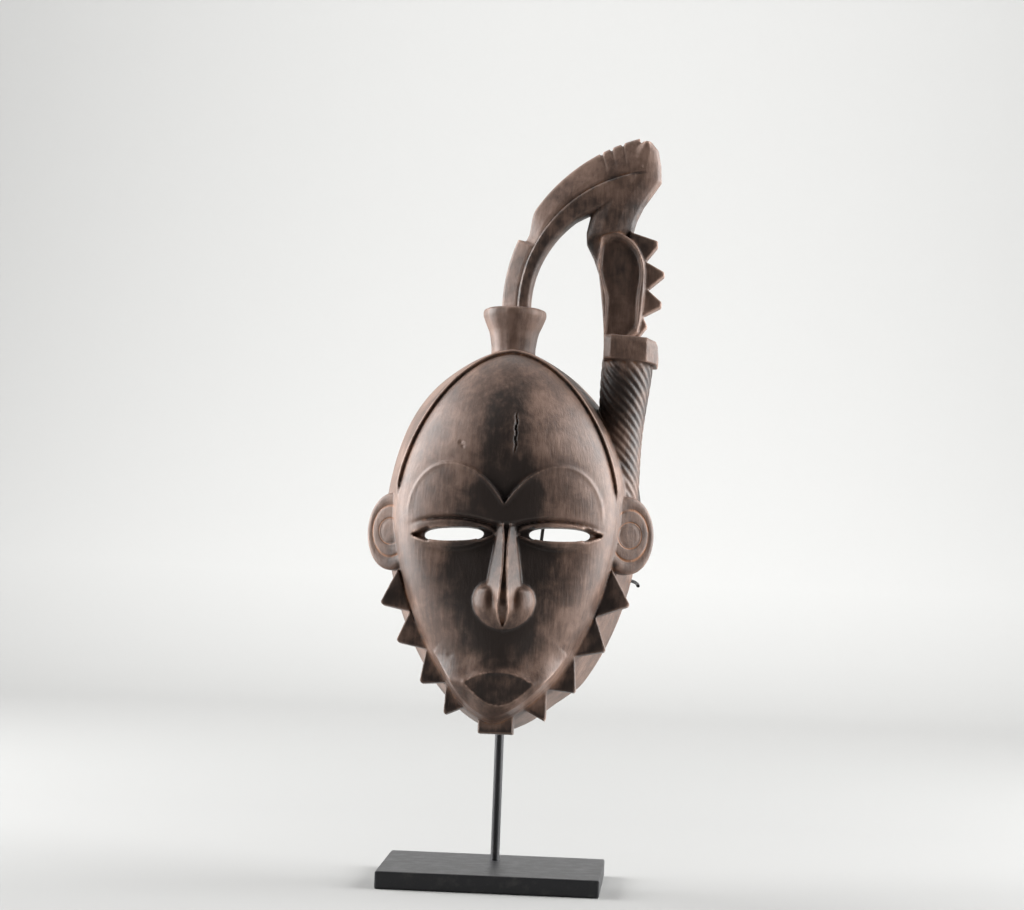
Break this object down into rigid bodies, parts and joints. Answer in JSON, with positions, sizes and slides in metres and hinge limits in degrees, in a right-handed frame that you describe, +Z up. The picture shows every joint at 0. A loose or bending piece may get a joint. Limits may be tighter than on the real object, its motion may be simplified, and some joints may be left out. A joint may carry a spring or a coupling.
{
  "type": "carved face mask on stand",
  "caption": "Carved wooden face mask with a tall bird crest, on a thin black rod stand with a foot plate.",
  "frame": {"origin": "centre of the foot plate's underside", "axes": "+Z up, the mask looks along -Y, +X is the viewer's right"},
  "size_m": [0.1952, 0.1495, 0.5137],
  "materials": {
    "dark_patinated_wood": "dark worn patina, satin",
    "black_steel": "black satin paint"
  },
  "bodies": {
    "root": {"mask": "dark_patinated_wood", "stand_rod": "black_steel", "stand_base": "black_steel"}
  },
  "joints": []
}
